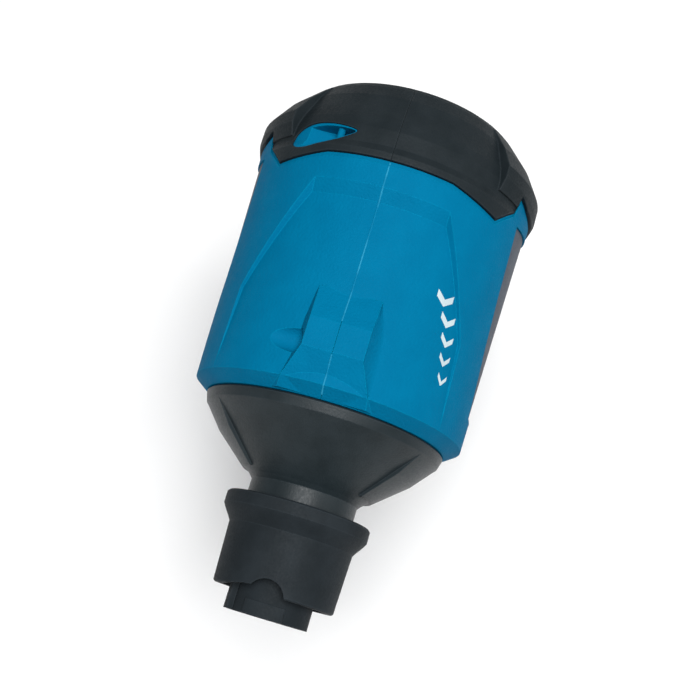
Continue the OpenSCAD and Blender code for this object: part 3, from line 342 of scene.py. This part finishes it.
def machined(name, dark, light, gloss, mark_mm, stretch, depth_mm, **shader_values):
    """Metal with tool marks that run one way."""
    finish, nodes, links, shader = start_finish(name, **shader_values)
    marks = noise(nodes, links, mark_mm, detail=3.0, stretch=stretch)
    tone = blend_colours(nodes, links, marks, dark, light)
    # Edges take the light tone: a painted highlight with some rubbed wear
    links.new(edge_highlight_and_wear(nodes, links, tone, light, 0.2), shader.inputs["Base Color"])
    links.new(blend_values(nodes, links, marks, *gloss), shader.inputs["Roughness"])
    raise_grain(nodes, links, shader, marks, depth_mm, 0.15)
    return finish


finishes["fan_metal"] = machined(
    "fan_metal", (0.60, 0.61, 0.63), (0.74, 0.75, 0.77), (0.22, 0.38), 0.6, (6, 1, 1), 0.01,
    Metallic=1.0)
finishes["bright_steel"] = machined(
    "bright_steel", (0.50, 0.50, 0.52), (0.64, 0.64, 0.66), (0.14, 0.28), 0.3, (8, 1, 1), 0.005,
    Metallic=1.0)
finishes["spring_steel"] = machined(
    "spring_steel", (0.36, 0.37, 0.38), (0.48, 0.49, 0.50), (0.22, 0.34), 0.4, (8, 1, 1), 0.005,
    Metallic=1.0)
finishes["magnet"] = machined(
    "magnet", (0.16, 0.16, 0.17), (0.24, 0.24, 0.25), (0.35, 0.5), 0.8, (1, 1, 1), 0.02,
    Metallic=1.0)
finishes["laminations"] = machined(
    "laminations", (0.18, 0.19, 0.20), (0.34, 0.35, 0.36), (0.35, 0.55), 0.5, (1, 0.02, 0.02), 0.06,
    Metallic=1.0)
finishes["copper"] = machined(
    "copper", (0.40, 0.13, 0.04), (0.66, 0.26, 0.09), (0.2, 0.35), 0.5, (0.05, 1, 1), 0.15,
    Metallic=1.0)
finishes["brass_blades"] = machined(
    "brass_blades", (0.60, 0.42, 0.16), (0.74, 0.55, 0.24), (0.18, 0.3), 0.4, (0.2, 1, 3), 0.006,
    Metallic=1.0)
finishes["circuit_board"] = machined(
    "circuit_board", (0.006, 0.10, 0.035), (0.016, 0.19, 0.065), (0.25, 0.4), 1.6, (1, 1, 1), 0.01,
    Coat_Weight=0.5)
print("all finishes:", len(finishes))

# %% [markdown]
# ## Dressing the solids
#
# Every solid has a material slot in the record, such as rubber or copper, and most finishes go
# on by that name. They could be assigned by hand, one solid at a time, but a loop can't forget
# one. Only the coupling's two pieces differ from their slot and get the duller black.

# %% Put the finishes on the solids
slot_of = {row["node"]: row["material_slot"] for row in frame["record"]["subparts"]}
OWN_FINISH = {"nozzle_sleeve": "matte_black", "outlet_tube": "matte_black"}
for node, solid in frame["nodes"].items():
    solid.data.materials.clear()
    solid.data.materials.append(finishes[OWN_FINISH.get(node, slot_of[node])])
print("solids with a finish:", len(slot_of))

# %% [markdown]
# ## Feeling for the barrel's surface
#
# Trim on the barrel has to follow its panel, its boss and its chamfers. A Shrinkwrap modifier
# could press it on, but it needs the target in one object. Casting rays from outside towards the
# axis gives the exact point of whichever solid is met first, and a small lift above it keeps the
# trim clear of the shell.

# %% Rays onto the barrel


def solid_tree(*names):
    """A ray-casting tree of the named solids."""
    points, faces = [], []
    for name in names:
        mesh = frame["nodes"][name].data
        start = len(points)
        points += [v.co.copy() for v in mesh.vertices]
        faces += [[start + i for i in face.vertices] for face in mesh.polygons]
    return BVHTree.FromPolygons(points, faces)


OUTSIDE_R = 80 * MM
shell_tree = solid_tree("housing_left", "housing_right")


def on_barrel(x, angle, lift=0.0):
    """The shell's point at x and at an angle in degrees from the top, towards the left side."""
    outward = Vector((0, math.sin(math.radians(angle)), math.cos(math.radians(angle))))
    start = Vector((x, 0, AXIS_Z)) + outward * OUTSIDE_R
    return shell_tree.ray_cast(start, -outward)[0] + outward * lift


def shell_radius(x, angle):
    """Distance from the barrel's axis to the shell at x and an angle."""
    return (on_barrel(x, angle).yz - Vector((0, AXIS_Z))).length


def mesh_piece(name, points, faces, body, finish):
    """A new piece from points and faces, with its finish, riding on a body."""
    mesh = bpy.data.meshes.new(name)
    mesh.from_pydata([tuple(p) for p in points], [], faces)
    shape = bmesh.new()
    shape.from_mesh(mesh)
    bmesh.ops.recalc_face_normals(shape, faces=shape.faces)
    shape.to_mesh(mesh)
    shape.free()
    mesh.polygons.foreach_set("use_smooth", [True] * len(mesh.polygons))
    piece = bpy.data.objects.new(name, mesh)
    bpy.context.collection.objects.link(piece)
    mesh.materials.append(finishes[finish])
    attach(piece, body)
    return piece


collar_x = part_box("housing_left")[1].x
print("radius at the collar in mm:", round(shell_radius(collar_x - 10 * MM, 60) / MM, 1))

# %% [markdown]
# ## The parting line
#
# Where the two shell halves meet, a little plastic is squeezed out of the mould, and it leaves a
# fine bead along the top. It could be painted, but a real bead catches the light on one side, so
# it is a thin ridge laid along the seam; its paler blue is a painted highlight along the ridge.
# On the boss's flat crest, the tool's highest level, the bead has been scraped off.

# %% Bead on the seam
BEAD_START_X = 4.1 * MM
BEAD_END_GAP = 0.6 * MM
BEAD_HALF_W = 0.30 * MM
BEAD_H = 0.13 * MM
BEAD_STEP = 0.5 * MM
BEAD_SECTION = [(-1, -0.4), (-0.6, 0.75), (0, 1), (0.6, 0.75), (1, -0.4)]
SEAM_ANGLE = 0.2
# The bead's paler blue is a painted highlight along the seam ridge
finishes["seam_highlight_blue"] = moulded(
    "seam_highlight_blue", (0.0, 0.150, 0.29), (0.02, 0.255, 0.42), (0.02, 0.26, 0.43),
    (0.45, 0.6), 0.9, 0.02, edge_mm=0.1, Specular_IOR_Level=0.05)


def bead_wander(x):
    """How much wider or narrower the bead is at x, as a share."""
    return 1 + 0.22 * math.sin(x * 2300) * math.sin(x * 911)


def seam_bead():
    """Thin ridges along the top seam, on all of it that lies below the tool's highest level."""
    length = collar_x - BEAD_END_GAP - BEAD_START_X
    highest = cad_box[1][2] - 1.2 * BEAD_H
    n = len(BEAD_SECTION)
    points, faces, in_run = [], [], False
    for i in range(int(length / BEAD_STEP) + 1):
        x = BEAD_START_X + BEAD_STEP * i
        ground = max(on_barrel(x, SEAM_ANGLE).z, on_barrel(x, -SEAM_ANGLE).z)
        if ground > highest:
            in_run = False
            continue
        base = len(points)
        points += [(x, BEAD_HALF_W * bead_wander(x) * u, ground + BEAD_H * v)
                   for u, v in BEAD_SECTION]
        if in_run:
            faces += [(base - n + j, base - n + (j + 1) % n, base + (j + 1) % n, base + j)
                      for j in range(n)]
        in_run = True
    return mesh_piece("seam_bead", points, faces, "tool", "seam_highlight_blue")


bead = seam_bead()
print("bead faces:", len(bead.data.polygons))

# %% [markdown]
# ## The boss's left cheek
#
# The raised boss over the top screw stands up steeply on the screw's side. On its other side the
# wall runs out into the panel in a long hollow curve. A fillet could be cut in CAD, but this one
# changes its radius all the way along. So it is drawn as a row of sections, each a curve from the
# boss's edge down to the panel, and skinned into one solid cheek.

# %% Cheek of the top boss
# Lines of (x, y) in millimetres, seen from above: where the cheek leaves the boss and where it ends
CHEEK_EDGE = [(50.5, 9.9), (60.0, 9.6), (69.5, 9.6), (78.4, 13.2)]
CHEEK_FOOT = [(50.5, 10.4), (54.8, 12.6), (59.9, 13.9), (66.3, 14.5), (72.0, 14.7), (78.4, 14.3)]
CHEEK_LEN = 27.9
CHEEK_SECTIONS = 41
CHEEK_STEPS = 8
CHEEK_HOLLOW = 1.5
CHEEK_T = 0.5 * MM
ABOVE_SHELL = 0.02 * MM


def along_line(line, x):
    """The side position of a line of (x, y) points at x."""
    for (x0, y0), (x1, y1) in zip(line, line[1:]):
        if x <= x1:
            return y0 + (y1 - y0) * (x - x0) / (x1 - x0)
    return line[-1][1]


def shell_top(x, y):
    """Height of the shell's upper side at x and y."""
    return shell_tree.ray_cast(Vector((x, y, 0.3)), Vector((0, 0, -1)))[0].z


def cheek_section(x_mm):
    """One section of the cheek as a closed loop of points, its hollow upper side first."""
    x, edge, foot = x_mm * MM, along_line(CHEEK_EDGE, x_mm) * MM, along_line(CHEEK_FOOT, x_mm) * MM
    ceiling = cad_box[1][2] - 0.01 * MM
    top = min(shell_top(x, edge) + 0.03 * MM, ceiling)
    low = shell_top(x, foot) - 0.06 * MM
    upper = []
    for i in range(CHEEK_STEPS + 1):
        t = i / CHEEK_STEPS
        y = edge + (foot - edge) * t
        z = top + (low - top) * (1 - (1 - t) ** CHEEK_HOLLOW)
        if 0 < i < CHEEK_STEPS:
            z = min(max(z, shell_top(x, y) + ABOVE_SHELL), ceiling)
        upper.append((x, y, z))
    return upper + [(x, y, z - CHEEK_T) for x, y, z in reversed(upper)]


def skin(rows, columns):
    """Quads between rows of points that each close into a loop of so many columns."""
    return [(i * columns + j, i * columns + (j + 1) % columns,
             (i + 1) * columns + (j + 1) % columns, (i + 1) * columns + j)
            for i in range(rows - 1) for j in range(columns)]


def boss_cheek():
    """Hollow run-out between the boss's left edge and the panel."""
    spans, n = CHEEK_SECTIONS - 1, 2 * (CHEEK_STEPS + 1)
    points = []
    for k in range(CHEEK_SECTIONS):
        points += cheek_section(CHEEK_EDGE[0][0] + CHEEK_LEN * k / spans)
    ends = [tuple(range(n)), tuple(spans * n + i for i in range(n))]
    return mesh_piece("boss_cheek", points, skin(CHEEK_SECTIONS, n) + ends,
                      "tool", "blue_shell")


cheek = boss_cheek()
print("cheek faces:", len(cheek.data.polygons))

# %% [markdown]
# ## The white print
#
# A row of plain arrowheads is printed on the left flank and points the way the air goes. Printed
# ink is a film a few hundredths of a millimetre thick. It could be mixed into the shell's
# colour, but a separate film has its own sheen and a crisp edge, so each arrowhead is a small
# sheet that is laid on the shell point by point.

# %% Arrowheads
PRINT_LIFT = 0.05 * MM
PANEL_R = 47 * MM
ARROWS = 5
ARROW_LEN = 2.4 * MM
ARROW_MARGIN = 1.2 * MM
ROW_START_X = 0.0385
ROW_LEN = 0.0245
ROW_ANGLE = 40.6
PANEL_ANGLE = 25.0
PANEL_RISE = 0.1 * MM
finishes["white_print"] = moulded(
    "white_print", (0.44, 0.53, 0.56), (0.51, 0.61, 0.64), (0.56, 0.66, 0.68),
    (0.35, 0.5), 0.4, 0.01)


def arrowhead(name, x, angle, half_w, thick):
    """A chevron that points along +X, laid on the shell around x and angle."""
    rows, columns = 10, 4
    points, faces = [], []
    for side in (-1, 1):
        base = len(points)
        for i in range(rows + 1):
            for j in range(columns + 1):
                along = x + ARROW_LEN * (1 - i / rows) + thick * (j / columns - 0.5)
                turn_by = math.degrees(side * half_w * i / rows / PANEL_R)
                points.append(on_barrel(along, angle + turn_by, PRINT_LIFT))
        row = columns + 1
        faces += [(base + i * row + j, base + i * row + j + 1,
                   base + (i + 1) * row + j + 1, base + (i + 1) * row + j)
                  for i in range(rows) for j in range(columns)]
    return mesh_piece(name, points, faces, "tool", "white_print")


def panel_edge(x):
    """The angle at which the shell first rises out of the sunken panel, at x."""
    angle = PANEL_ANGLE
    floor_r = shell_radius(x, angle)
    while angle < 60 and shell_radius(x, angle) < floor_r + PANEL_RISE:
        angle += 0.25
    return angle


for k in range(ARROWS):
    share = k / (ARROWS - 1)
    arrow_x = ROW_START_X + ROW_LEN * share
    half_w = (3.4 - 1.3 * share) * MM
    margin = math.degrees((half_w + ARROW_MARGIN) / PANEL_R)
    angle = min(ROW_ANGLE + 6.0 * share, panel_edge(arrow_x) - margin)
    arrowhead(f"airflow_arrow_{k + 1}", arrow_x, angle, half_w, (2.4 - 0.9 * share) * MM)
print("arrowheads:", ARROWS, "panel edge in degrees:", panel_edge(arrow_x))
